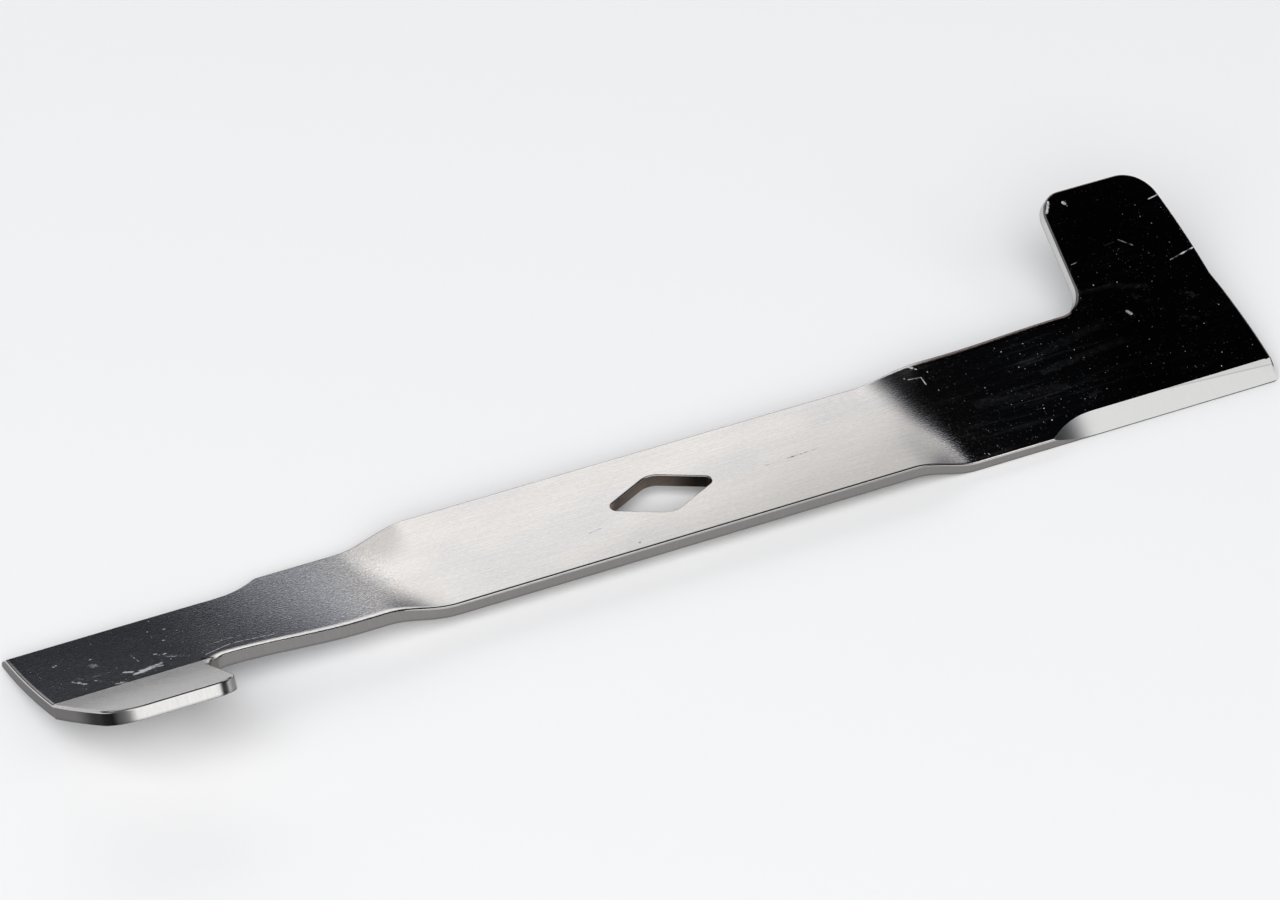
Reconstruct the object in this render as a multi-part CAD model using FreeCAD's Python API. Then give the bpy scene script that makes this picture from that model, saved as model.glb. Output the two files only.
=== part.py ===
import FreeCAD, Part

import math
import os

# Rotary mower blade: one bar of steel plate, cut to shape, formed and ground.
# X runs along the blade, Z points up, and the origin is the hole's centre on the top face.
# The end at +X has its cutting edge at -Y and its wing at +Y. The other end is the same
# end turned half a turn about the hole's axis.

# The bar
length = 474.0
width = 50.0
thickness = 5.0

# The mounting hole, a diamond with its long diagonal along the blade
hole_long = 44.8
hole_short = 22.8
hole_acute_radius = 2.5
hole_obtuse_radius = 8.0
hole_edge_round = 0.4

# The shoulder, where the flat middle turns down into the arm
shoulder_start = 87.8
shoulder_end = 113.5
shoulder_twist = 12.8
cutting_drop = 6.3
cutting_shift = 1.4

# The arm's slow further twist, which ends where the wing begins
arm_twist = 3.1
arm_twist_start = 123.0

# The wing, bent up from the line of the trailing edge
wing_start = 181.2
wing_bend = 16.1
wing_bend_radius = 3.0
wing_reach = 45.5
wing_root_radius = 9.0
wing_inner_radius = 9.0
wing_tip_radius = 14.0

# The tip edge, an arc that stands square to the blade near the cutting corner
tip_radius = 300.0
tip_square_at = 9.0
cutting_corner_radius = 1.5

# The rolled-over edge that the blanking leaves round the top face
top_edge_round = 0.8

# The ground cutting edge and its run-out
edge_width = 7.4
edge_land = 0.7
edge_full_from = 162.0
grinding_radius = 50.0

# A second, slightly shallower facet that widens along the top of the ground edge to the tip
facet_start = 192.0
facet_width = 2.5
facet_easing = 2.0

# Stations along the twisted stretch
shoulder_steps = 14
arm_steps = 22

# An edge counts as upright, running through the plate, above this share of its direction
nearly_upright = 0.9

half_length = length / 2.0
half_width = width / 2.0
up = FreeCAD.Vector(0, 0, 1)
along = FreeCAD.Vector(1, 0, 0)
hole_axis_point = FreeCAD.Vector(0, 0, 0)
arm_flat_from = wing_start - wing_root_radius
reach_out = length
edge_rise = thickness - edge_land
edge_slope = math.atan2(edge_rise, edge_width)


def ease(position, start, end):
    """Rises from 0 to 1 between start and end, level at both."""
    share = min(max((position - start) / (end - start), 0.0), 1.0)
    return share * share * (3.0 - 2.0 * share)


def twist_at(x):
    """Angle of the section at x, in degrees."""
    shoulder = shoulder_twist * ease(x, shoulder_start, shoulder_end)
    return shoulder + arm_twist * ease(x, arm_twist_start, arm_flat_from)


def station(x):
    """Place of the section at x: its corner is the lower edge of the leading side."""
    fall = ease(x, shoulder_start, shoulder_end)
    corner = FreeCAD.Vector(x, -half_width + cutting_shift * fall, -thickness - cutting_drop * fall)
    return FreeCAD.Placement(corner, FreeCAD.Rotation(along, twist_at(x)))


def section(x):
    """The bar's section at x, drawn in the plane across the blade."""
    corners = [(0, 0), (width, 0), (width, thickness), (0, thickness), (0, 0)]
    place = station(x)
    return Part.makePolygon([place.multVec(FreeCAD.Vector(0, across, high)) for across, high in corners])


def twisted_stretch():
    """The bar from the end of the flat middle to the flat part of the arm."""
    shoulder_step = (shoulder_end - shoulder_start) / shoulder_steps
    arm_step = (arm_flat_from - shoulder_end) / arm_steps
    stations = [shoulder_start + shoulder_step * i for i in range(shoulder_steps)]
    stations += [shoulder_end + arm_step * i for i in range(arm_steps + 1)]
    return Part.makeLoft([section(x) for x in stations], True)


def bent_end():
    """The flat part of the arm with the wing, as plate still to be cut to outline."""
    bend = math.radians(wing_bend)
    inner = wing_bend_radius
    outer = wing_bend_radius + thickness
    centre_high = thickness + inner

    def on_bend(radius, share):
        angle = bend * share
        return FreeCAD.Vector(0, width + radius * math.sin(angle), centre_high - radius * math.cos(angle))

    outward = FreeCAD.Vector(0, math.cos(bend), math.sin(bend)) * wing_reach
    low_start = FreeCAD.Vector(0, 0, 0)
    low_bend = on_bend(outer, 0)
    low_end = on_bend(outer, 1)
    high_end = on_bend(inner, 1)
    high_bend = on_bend(inner, 0)
    high_start = FreeCAD.Vector(0, 0, thickness)
    edges = [
        Part.LineSegment(low_start, low_bend),
        Part.Arc(low_bend, on_bend(outer, 0.5), low_end),
        Part.LineSegment(low_end, low_end + outward),
        Part.LineSegment(low_end + outward, high_end + outward),
        Part.LineSegment(high_end + outward, high_end),
        Part.Arc(high_end, on_bend(inner, 0.5), high_bend),
        Part.LineSegment(high_bend, high_start),
        Part.LineSegment(high_start, low_start),
    ]
    profile = Part.Face(Part.Wire([edge.toShape() for edge in edges]))
    return profile.extrude(along * half_length)


def plate_prism(points_to_edges):
    """A tall prism, square to the arm, over an outline drawn in the arm's plane."""
    face = Part.Face(Part.Wire([edge.toShape() for edge in points_to_edges]))
    face.translate(FreeCAD.Vector(0, 0, -reach_out))
    return face.extrude(up * 2 * reach_out)


def notch():
    """What is cut away inboard of the wing, with the round at the wing's root."""
    root = wing_root_radius
    inboard = -root
    wing_side = wing_start - arm_flat_from
    centre = FreeCAD.Vector(wing_side - root, width + root, 0)
    diagonal = FreeCAD.Vector(math.sqrt(0.5), -math.sqrt(0.5), 0) * root
    on_arm = FreeCAD.Vector(wing_side - root, width, 0)
    on_wing = FreeCAD.Vector(wing_side, width + root, 0)
    far_wing = FreeCAD.Vector(wing_side, reach_out, 0)
    far_arm = FreeCAD.Vector(inboard, reach_out, 0)
    near_arm = FreeCAD.Vector(inboard, width, 0)
    return plate_prism([
        Part.LineSegment(near_arm, on_arm),
        Part.Arc(on_arm, centre + diagonal, on_wing),
        Part.LineSegment(on_wing, far_wing),
        Part.LineSegment(far_wing, far_arm),
        Part.LineSegment(far_arm, near_arm),
    ])


def tip_disc():
    """A disc whose rim is the tip edge."""
    tip = half_length - arm_flat_from
    centre = FreeCAD.Vector(tip - tip_radius, tip_square_at, -reach_out)
    return Part.makeCylinder(tip_radius, 2 * reach_out, centre, up)


def upright_edges(shape):
    """The edges that run through the plate."""
    return [edge for edge in shape.Edges if abs(edge.tangentAt(edge.FirstParameter).z) > nearly_upright]


def upright_edge(shape, x, across):
    """The edge through the plate nearest to a place in the arm's plane."""
    def distance(edge):
        middle = edge.CenterOfMass
        return math.hypot(middle.x - x, middle.y - across)

    return min(upright_edges(shape), key=distance)


def arm_end():
    """The flat end of the arm with its wing, cut to outline, in the arm's own frame."""
    plate = bent_end().cut(notch()).common(tip_disc())
    plate = plate.makeFillet(cutting_corner_radius, [upright_edge(plate, half_length, 0)])
    wing_across = width + wing_reach
    wing_side = wing_start - arm_flat_from
    plate = plate.makeFillet(wing_inner_radius, [upright_edge(plate, wing_side, wing_across)])
    return plate.makeFillet(wing_tip_radius, [upright_edge(plate, half_length, wing_across)])


def wheel_cut():
    """What the wheel takes off the top of the leading edge, in the arm's own frame."""
    full = edge_full_from - arm_flat_from
    tip = half_length - arm_flat_from + grinding_radius
    clear = 2.0 * thickness
    back = math.sqrt(grinding_radius ** 2 - (grinding_radius - clear) ** 2)
    half_angle = 0.5 * math.acos(1.0 - clear / grinding_radius)

    def on_wheel(angle):
        sideways = grinding_radius * math.sin(angle)
        raised = grinding_radius * (1.0 - math.cos(angle))
        return FreeCAD.Vector(full - sideways, 0, raised)

    start = FreeCAD.Vector(full, 0, 0)
    left = FreeCAD.Vector(full - back, 0, clear)
    end = FreeCAD.Vector(tip, 0, 0)
    end_high = FreeCAD.Vector(tip, 0, clear)
    edges = [
        Part.LineSegment(start, end),
        Part.LineSegment(end, end_high),
        Part.LineSegment(end_high, left),
        Part.Arc(left, on_wheel(half_angle), start),
    ]
    profile = Part.Face(Part.Wire([edge.toShape() for edge in edges]))
    profile.translate(FreeCAD.Vector(0, -width, 0))
    block = profile.extrude(FreeCAD.Vector(0, 2 * width, 0))
    turn = FreeCAD.Rotation(along, math.degrees(edge_slope))
    return block.transformed(FreeCAD.Placement(FreeCAD.Vector(0, 0, edge_land), turn).toMatrix())


def facet_cut():
    """What the second facet takes off, above a plane hinged on its lower line."""
    start = FreeCAD.Vector(facet_start - arm_flat_from, edge_width, thickness)
    down_edge = FreeCAD.Vector(0, -math.cos(edge_slope), -math.sin(edge_slope)) * facet_width
    lower_line = along * (half_length - facet_start) + down_edge
    eased = edge_slope - math.radians(facet_easing)
    inward = FreeCAD.Vector(0, math.cos(eased), math.sin(eased))
    turn = FreeCAD.Rotation(lower_line, inward, lower_line.cross(inward), "XZY")
    lead = facet_start - arm_flat_from
    block = Part.makeBox(half_length, width, width, FreeCAD.Vector(-lead, -half_width, 0))
    return block.transformed(FreeCAD.Placement(start, turn).toMatrix())


def edge_grinding():
    """All that is ground off one end, in the blade's frame."""
    return wheel_cut().fuse(facet_cut()).transformed(station(arm_flat_from).toMatrix())


def other_end(shape):
    """The same shape at the -X end, half a turn about the hole's axis."""
    turned = shape.copy()
    turned.rotate(hole_axis_point, up, 180)
    return turned


def hole():
    """The diamond, with a small round in its acute corners and a large one in its obtuse ones."""
    long_half = hole_long / 2.0
    short_half = hole_short / 2.0
    corners = [(long_half, 0), (0, short_half), (-long_half, 0), (0, -short_half)]
    points = [FreeCAD.Vector(x, y, -2 * thickness) for x, y in corners]
    prism = Part.Face(Part.makePolygon(points + points[:1])).extrude(up * 4 * thickness)
    acute = [edge for edge in upright_edges(prism) if abs(edge.CenterOfMass.x) > short_half]
    prism = prism.makeFillet(hole_acute_radius, acute)
    obtuse = [edge for edge in upright_edges(prism) if abs(edge.CenterOfMass.y) > hole_acute_radius]
    return prism.makeFillet(hole_obtuse_radius, obtuse)


def formed_bar():
    """The bar with both ends formed, before its edges are worked."""
    middle = Part.makeBox(
        2 * shoulder_start, width, thickness,
        FreeCAD.Vector(-shoulder_start, -half_width, -thickness))
    end = twisted_stretch().fuse(arm_end().transformed(station(arm_flat_from).toMatrix()))
    return middle.fuse([end, other_end(end)]).removeSplitter().Solids[0]


def round_rim(bar, radius, place):
    """Rounds the closed line of smooth edges that passes nearest to a place."""
    start = min(bar.Edges, key=lambda edge: (edge.CenterOfMass - place).Length)
    return bar.makeFillet(radius, [start])


def blade():
    """The whole blade as one solid."""
    bar = round_rim(formed_bar(), top_edge_round, FreeCAD.Vector(0, half_width, 0))
    hole_side = FreeCAD.Vector(hole_long / 4.0, hole_short / 4.0, 0)
    bar = round_rim(bar.cut(hole()), hole_edge_round, hole_side)
    grinding = edge_grinding()
    return bar.cut([grinding, other_end(grinding)]).Solids[0]


os.makedirs("parts", exist_ok=True)
solid = blade()
solid.exportStep("parts/blade.step")
print("blade", solid.ShapeType, solid.isValid(), round(solid.Volume), "mm3", solid.BoundBox)
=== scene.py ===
import math

import bmesh
import bpy
import numpy as np
from mathutils import Matrix, Vector
from mathutils.geometry import delaunay_2d_cdt


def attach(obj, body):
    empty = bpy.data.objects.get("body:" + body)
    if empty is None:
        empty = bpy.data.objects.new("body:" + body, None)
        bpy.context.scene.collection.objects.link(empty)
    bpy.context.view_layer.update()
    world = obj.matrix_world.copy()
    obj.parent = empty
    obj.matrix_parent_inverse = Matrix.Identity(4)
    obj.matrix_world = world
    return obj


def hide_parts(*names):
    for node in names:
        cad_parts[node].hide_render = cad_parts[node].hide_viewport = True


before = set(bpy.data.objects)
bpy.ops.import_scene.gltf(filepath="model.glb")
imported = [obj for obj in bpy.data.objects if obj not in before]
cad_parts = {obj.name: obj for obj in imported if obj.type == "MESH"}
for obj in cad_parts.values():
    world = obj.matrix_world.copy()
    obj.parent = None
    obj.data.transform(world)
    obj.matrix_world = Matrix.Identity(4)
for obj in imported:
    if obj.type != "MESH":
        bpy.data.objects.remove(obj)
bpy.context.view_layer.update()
mm = 0.001
print("the packed blade is loaded")


# One socket of a node tree. Its operators add the Math nodes, and node() adds any other node.
class Wire:
    def __init__(self, tree, socket=None):
        self.tree = tree
        self.socket = socket

    def node(self, kind, settings=None, values=None, out=0):
        made = self.tree.nodes.new(kind)
        for name, value in (settings or {}).items():
            if name == "stops":
                ramp = made.color_ramp
                while len(ramp.elements) < len(value):
                    ramp.elements.new(0.5)
                for element, (position, colour) in zip(ramp.elements, value):
                    element.position = position
                    element.color = (*colour, 1.0)
            else:
                setattr(made, name, value)
        for name, value in (values or {}).items():
            if isinstance(value, Wire):
                self.tree.links.new(value.socket, made.inputs[name])
            else:
                made.inputs[name].default_value = value
        return Wire(self.tree, made.outputs[out])

    def math(self, operation, first, second=0.0):
        return self.node("ShaderNodeMath", {"operation": operation}, {0: first, 1: second})

    def __add__(self, other):
        return self.math("ADD", self, other)

    def __radd__(self, other):
        return self.math("ADD", other, self)

    def __sub__(self, other):
        return self.math("SUBTRACT", self, other)

    def __rsub__(self, other):
        return self.math("SUBTRACT", other, self)

    def __mul__(self, other):
        return self.math("MULTIPLY", self, other)

    def __rmul__(self, other):
        return self.math("MULTIPLY", other, self)

    def __truediv__(self, other):
        return self.math("DIVIDE", self, other)

    def smaller(self, other):
        return self.math("MINIMUM", self, other)

    def larger(self, other):
        return self.math("MAXIMUM", self, other)

    # 0 below low, 1 above high, level at both
    def ease(self, low, high):
        return self.node("ShaderNodeMapRange", {"interpolation_type": "SMOOTHSTEP"},
                         {"Value": self, "From Min": low, "From Max": high})

    # colour from one to the other as this value goes from 0 to 1
    def blend(self, start, end, kind="MIX"):
        return self.node("ShaderNodeMix", {"data_type": "RGBA", "blend_type": kind},
                         {0: self, 6: start, 7: end}, out=2)

    # a value from low to high as this one goes from 0 to 1
    def between(self, low, high):
        return low + self * (high - low)

    # a vector or colour, scaled by this value
    def scaling(self, vector):
        return self.node("ShaderNodeVectorMath", {"operation": "SCALE"}, {0: vector, "Scale": self})

    # the three parts of a vector
    def parts(self):
        apart = self.node("ShaderNodeSeparateXYZ", None, {0: self}).socket.node
        return [Wire(self.tree, apart.outputs[i]) for i in range(3)]


# the blade's blank: flat, x along the blade, v across it, with the heights of its worked edges, in mm
blank = {
    "length": 474.0, "width": 50.0, "thickness": 5.0,
    "holeLong": 44.8, "holeShort": 22.8, "holeAcuteRadius": 2.5, "holeObtuseRadius": 8.0,
    "holeEdgeRound": 0.4,
    "wingStart": 181.2, "wingReach": 45.5,
    "wingRootRadius": 9.0, "wingInnerRadius": 9.0, "wingTipRadius": 14.0,
    "wingBend": 16.1, "wingBendRadius": 3.0,
    "tipRadius": 300.0, "tipSquareAt": 9.0, "cuttingCornerRadius": 1.5,
    "topEdgeRound": 0.8, "bottomEdgeRound": 0.18,
    "edgeWidth": 7.4, "edgeLand": 0.7, "edgeFullFrom": 162.0, "grindingRadius": 50.0,
    "facetStart": 192.0, "facetWidth": 2.5, "facetEasing": 2.0,
    # the wider rolled edge: its size beside a plain one's, where it sets in and ends, and where across it is
    "rollWidth": 2.75, "rollDepth": 0.69,
    "rollSetsIn": (98, 112), "rollEnds": 182, "rollAcross": (49, 50, 60),
    # points of the outline: stretches of the long edges, each as the x where it ends and its step
    "leadingRuns": ((84, 3.0), (118, 1.5), (141, 3.0), (147, 0.2), (165, 1.0)),
    "trailingRuns": ((120, 3.0), (84, 1.5), (0, 3.0)),
    # the step everywhere else, and how many points each round has
    "step": 3.0, "cuttingCornerPoints": 8, "tipPoints": (16, 10, 10),
    "wingTipPoints": 18, "wingInnerPoints": 16, "wingRootPoints": 30,
    "holeCornerPoints": 20, "holeSidePoints": 5,
    # rings round an edge, by their angle, with a flat one beside them and one close to each end of the wall
    "edgeAngles": (0, 18, 36, 54, 68, 80, 90), "bottomAngles": (0, 22.5, 45, 67.5, 90),
    "support": 0.35, "wallBand": 0.08,
    # lines that the triangles follow: the bend's, with their margin, the run-out, the crest and the facet
    "bendLines": 7, "bendMargin": 0.35, "bendClear": 0.6,
    "runOutFrom": 0.12, "runOutPoints": 20, "crestGap": 2.0, "crestStep": 2.5, "facetPoints": 16,
    # the grid between them, and how far it and the lines keep from what is there
    "gridShare": 0.8, "gridEdge": 70.5, "gridClear": 0.8, "lineClear": 0.3,
    # what counts as ground, as on a line, as one point and as a sharp edge
    "onGround": 0.08, "onLine": 0.01, "merge": 2e-6, "tolerance": 1e-6, "sharpEdge": 24.0,
}
blank["halfLength"] = blank["length"] / 2
blank["halfWidth"] = blank["width"] / 2
blank["edgeSlope"] = math.atan2(blank["thickness"] - blank["edgeLand"], blank["edgeWidth"])
blank["bend"] = math.radians(blank["wingBend"])
blank["bendArc"] = blank["wingBendRadius"] * blank["bend"]


# across the flat blank for a distance across seen square to the arm, and its rate of change
def unbend(across):
    over = across - blank["width"]
    radius, bend = blank["wingBendRadius"], blank["bend"]
    if over <= 0:
        return across, 1.0
    if over < radius * math.sin(bend):
        turned = math.asin(over / radius)
        return blank["width"] + radius * turned, 1 / math.cos(turned)
    beyond = (over - radius * math.sin(bend)) / math.cos(bend)
    return blank["width"] + blank["bendArc"] + beyond, 1 / math.cos(bend)


# points and directions on a straight run, its end left to the next run
def straightRun(start, end, step):
    start, end = np.array(start), np.array(end)
    count = max(1, round(np.linalg.norm(end - start) / step))
    way = (end - start) / np.linalg.norm(end - start)
    return [(start + (end - start) * i / count, way) for i in range(count)]


# the same on an arc between two angles
def arcRun(centre, radius, first, last, count):
    turn = 1 if last > first else -1
    run = []
    for i in range(count):
        angle = first + (last - first) * i / count
        spoke = np.array([math.cos(angle), math.sin(angle)])
        run.append((np.array(centre) + radius * spoke, turn * np.array([-spoke[1], spoke[0]])))
    return run


# the outline of one end, from the middle of its leading edge round the wing to the middle of its
# trailing edge, with the directions from it into the steel
def endOutline():
    b = blank
    tipCentre = np.array([b["halfLength"] - b["tipRadius"], b["tipSquareAt"]])
    bendAcross = b["width"] + b["wingBendRadius"] * math.sin(b["bend"])
    far = bendAcross + b["wingReach"] * math.cos(b["bend"])

    def besideTip(radius, across):
        run = math.sqrt((b["tipRadius"] - radius) ** 2 - (across - tipCentre[1]) ** 2)
        return np.array([tipCentre[0] + run, across])

    cutting = besideTip(b["cuttingCornerRadius"], b["cuttingCornerRadius"])
    outer = besideTip(b["wingTipRadius"], far - b["wingTipRadius"])
    tipFrom = math.atan2(*(cutting - tipCentre)[::-1])
    tipTo = math.atan2(*(outer - tipCentre)[::-1])
    root = (b["wingStart"] - b["wingRootRadius"], b["width"] + b["wingRootRadius"])
    inner = (b["wingStart"] + b["wingInnerRadius"], far - b["wingInnerRadius"])
    step = b["step"]
    run, reached = [], 0
    for end, gap in b["leadingRuns"] + ((cutting[0], step),):
        run += straightRun((reached, 0), (end, 0), gap)
        reached = end
    run += arcRun(cutting, b["cuttingCornerRadius"], -math.pi / 2, tipFrom, b["cuttingCornerPoints"])
    # the tip, with points close together where it crosses the bend
    bendFrom = math.asin((b["width"] - b["bendClear"] - tipCentre[1]) / b["tipRadius"])
    bendTo = math.asin((bendAcross + b["bendClear"] - tipCentre[1]) / b["tipRadius"])
    turns = (tipFrom, bendFrom, bendTo, tipTo)
    for first, last, count in zip(turns, turns[1:], b["tipPoints"]):
        run += arcRun(tipCentre, b["tipRadius"], first, last, count)
    run += arcRun(outer, b["wingTipRadius"], tipTo, math.pi / 2, b["wingTipPoints"])
    run += straightRun((outer[0], far), (inner[0], far), step)
    run += arcRun(inner, b["wingInnerRadius"], math.pi / 2, math.pi, b["wingInnerPoints"])
    run += straightRun((b["wingStart"], inner[1]), (b["wingStart"], root[1]), step)
    run += arcRun(root, b["wingRootRadius"], 0, -math.pi / 2, b["wingRootPoints"])
    reached = root[0]
    for end, gap in b["trailingRuns"]:
        run += straightRun((reached, b["width"]), (end, b["width"]), gap)
        reached = end
    places, inwards = [], []
    for place, way in run:
        across, rate = unbend(place[1])
        way = np.array([way[0], way[1] * rate])
        way /= np.linalg.norm(way)
        places.append((place[0], across - b["halfWidth"]))
        inwards.append((-way[1], way[0]))
    return np.array(places), np.array(inwards)


# the diamond hole's outline, with the directions from it into the steel
def holeOutline():
    longHalf, shortHalf = blank["holeLong"] / 2, blank["holeShort"] / 2
    corners = [np.array(c) for c in ((longHalf, 0.0), (0.0, shortHalf), (-longHalf, 0.0), (0.0, -shortHalf))]
    radii = [blank["holeAcuteRadius"], blank["holeObtuseRadius"]] * 2
    places, outwards = [], []
    for i, corner in enumerate(corners):
        before, after = corners[i - 1] - corner, corners[(i + 1) % 4] - corner
        before, after = before / np.linalg.norm(before), after / np.linalg.norm(after)
        halfAngle = math.acos(before @ after) / 2
        middle = (before + after) / np.linalg.norm(before + after)
        centre = corner + middle * radii[i] / math.sin(halfAngle)
        sweep = math.pi / 2 - halfAngle
        heading = math.atan2(*(-middle)[::-1])
        for k in range(blank["holeCornerPoints"] + 1):
            angle = heading - sweep + 2 * sweep * k / blank["holeCornerPoints"]
            spoke = np.array([math.cos(angle), math.sin(angle)])
            places.append(centre + radii[i] * spoke)
            outwards.append(spoke)
        # the side up to where the next corner's round begins
        start = places[-1]
        nextSide = corners[(i + 2) % 4] - corners[(i + 1) % 4]
        nextTurn = math.acos(-after @ nextSide / np.linalg.norm(nextSide)) / 2
        end = corners[(i + 1) % 4] - after * radii[(i + 1) % 4] / math.tan(nextTurn)
        for k in range(1, blank["holeSidePoints"]):
            places.append(start + (end - start) * k / blank["holeSidePoints"])
            outwards.append(outwards[-1])
    return np.array(places), np.array(outwards)


# height of the ground surface over a place of the blank, far above the plate where nothing is ground
def groundHeight(places):
    b = blank
    side = np.where(places[:, 0] < 0, -1, 1)
    x = places[:, 0] * side
    across = places[:, 1] * side + b["halfWidth"]
    inboard = np.clip(b["edgeFullFrom"] - x, 0, None)
    ground = inboard < b["grindingRadius"]
    lift = b["grindingRadius"] - np.sqrt(np.where(ground, b["grindingRadius"] ** 2 - inboard ** 2, 0))
    bevel = b["edgeLand"] + across * math.tan(b["edgeSlope"]) + lift / math.cos(b["edgeSlope"])
    # the shallower facet: a plane hinged on a line that runs down the bevel to the tip
    share = (x - b["facetStart"]) / (b["halfLength"] - b["facetStart"])
    eased = b["edgeSlope"] - math.radians(b["facetEasing"])
    lineAcross = b["edgeWidth"] - share * b["facetWidth"] * math.cos(b["edgeSlope"])
    lineHeight = b["thickness"] - share * b["facetWidth"] * math.sin(b["edgeSlope"])
    facet = lineHeight + (across - lineAcross) * math.tan(eased)
    bevel = np.where(share > 0, np.minimum(bevel, facet), bevel)
    return np.where(ground, bevel, 1000.0)


# which points lie inside a closed loop
def insideLoop(points, loop):
    inside = np.zeros(len(points), bool)
    for (x0, y0), (x1, y1) in zip(loop, np.roll(loop, -1, axis=0)):
        if y0 != y1:
            crosses = (points[:, 1] < y0) != (points[:, 1] < y1)
            inside ^= crosses & (points[:, 0] < x0 + (points[:, 1] - y0) * (x1 - x0) / (y1 - y0))
    return inside


# each point's distance to the nearest of some straight runs
def distanceToRuns(points, starts, ends):
    nearest = np.full(len(points), 1e9)
    for start, end in zip(starts, ends):
        way = end - start
        share = np.clip((points - start) @ way / (way @ way), 0, 1)
        nearest = np.minimum(nearest, np.linalg.norm(points - start - share[:, None] * way, axis=1))
    return nearest


# lines that the top's triangles have to follow, all at the +X end: the bend, the ground edge and its facet
def endLines():
    b = blank
    lines = []
    bendXs = np.arange(b["wingStart"] - b["wingRootRadius"], b["halfLength"], b["step"])
    bendWidth = b["bendArc"] + 2 * b["bendMargin"]
    for i in range(b["bendLines"]):
        across = b["width"] - b["bendMargin"] + bendWidth * i / (b["bendLines"] - 1)
        lines.append([(x, across) for x in bendXs])
    slope = b["edgeSlope"]
    runOut = []
    for share in np.linspace(b["runOutFrom"], 1, b["runOutPoints"]):
        across = b["edgeWidth"] * share
        lift = (b["edgeWidth"] - across) * math.sin(slope)
        inboard = math.sqrt(b["grindingRadius"] ** 2 - (b["grindingRadius"] - lift) ** 2)
        runOut.append((b["edgeFullFrom"] - inboard, across))
    crestXs = np.arange(b["edgeFullFrom"] + b["crestGap"], b["facetStart"], b["crestStep"])
    lines.append(runOut + [(x, b["edgeWidth"]) for x in crestXs])
    eased = slope - math.radians(b["facetEasing"])
    outward = b["facetWidth"] * (math.sin(slope) / math.tan(eased) - math.cos(slope))
    shares = np.linspace(0, 1, b["facetPoints"])
    span = b["halfLength"] - b["facetStart"]
    lines[-1] += [(b["facetStart"] + span * s, b["edgeWidth"] + outward * s) for s in shares]
    lines.append([(b["facetStart"] + span * s, b["edgeWidth"] - b["facetWidth"] * math.cos(slope) * s)
                  for s in shares[1:]])
    return [np.array(line) - (0, b["halfWidth"]) for line in lines]


# triangles of one face of the blank between its outline and the hole, as places and index triples
def faceTriangles(outline, hole, lines):
    b = blank
    loops = [outline, hole]
    points = np.concatenate(loops)
    edges = []
    first = 0
    for loop in loops:
        edges += [(first + i, first + (i + 1) % len(loop)) for i in range(len(loop))]
        first += len(loop)
    starts = [points[i] for i, k in edges]
    ends = [points[k] for i, k in edges]
    for line in lines:
        clear = distanceToRuns(line, starts[:len(outline)], ends[:len(outline)]) > b["lineClear"]
        keep = insideLoop(line, outline) & clear
        kept = np.flatnonzero(keep)
        for i, k in zip(kept, kept[1:]):
            if k == i + 1:
                edges.append((len(points) + int(np.sum(keep[:i])), len(points) + int(np.sum(keep[:k]))))
        points = np.concatenate([points, line[keep]])
    starts = [points[i] for i, k in edges]
    ends = [points[k] for i, k in edges]
    gap = b["step"] * b["gridShare"]
    xs = np.arange(-b["halfLength"] + b["step"] / 2, b["halfLength"], gap)
    grid = np.array([(x, v) for x in xs for v in np.arange(-b["gridEdge"], b["gridEdge"], gap)])
    grid = grid[insideLoop(grid, outline) & ~insideLoop(grid, hole)]
    grid = grid[distanceToRuns(grid, starts, ends) > b["gridClear"]]
    everything = [Vector(p) for p in np.concatenate([points, grid])]
    places, _, faces, origin, _, _ = delaunay_2d_cdt(everything, edges, [], 0, b["tolerance"], True)
    places = np.array([tuple(p) for p in places])
    middles = np.array([places[list(face)].mean(axis=0) for face in faces])
    keep = insideLoop(middles, outline) & ~insideLoop(middles, hole)
    return places, [face for face, kept in zip(faces, keep) if kept], [o[0] if o else -1 for o in origin]


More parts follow.
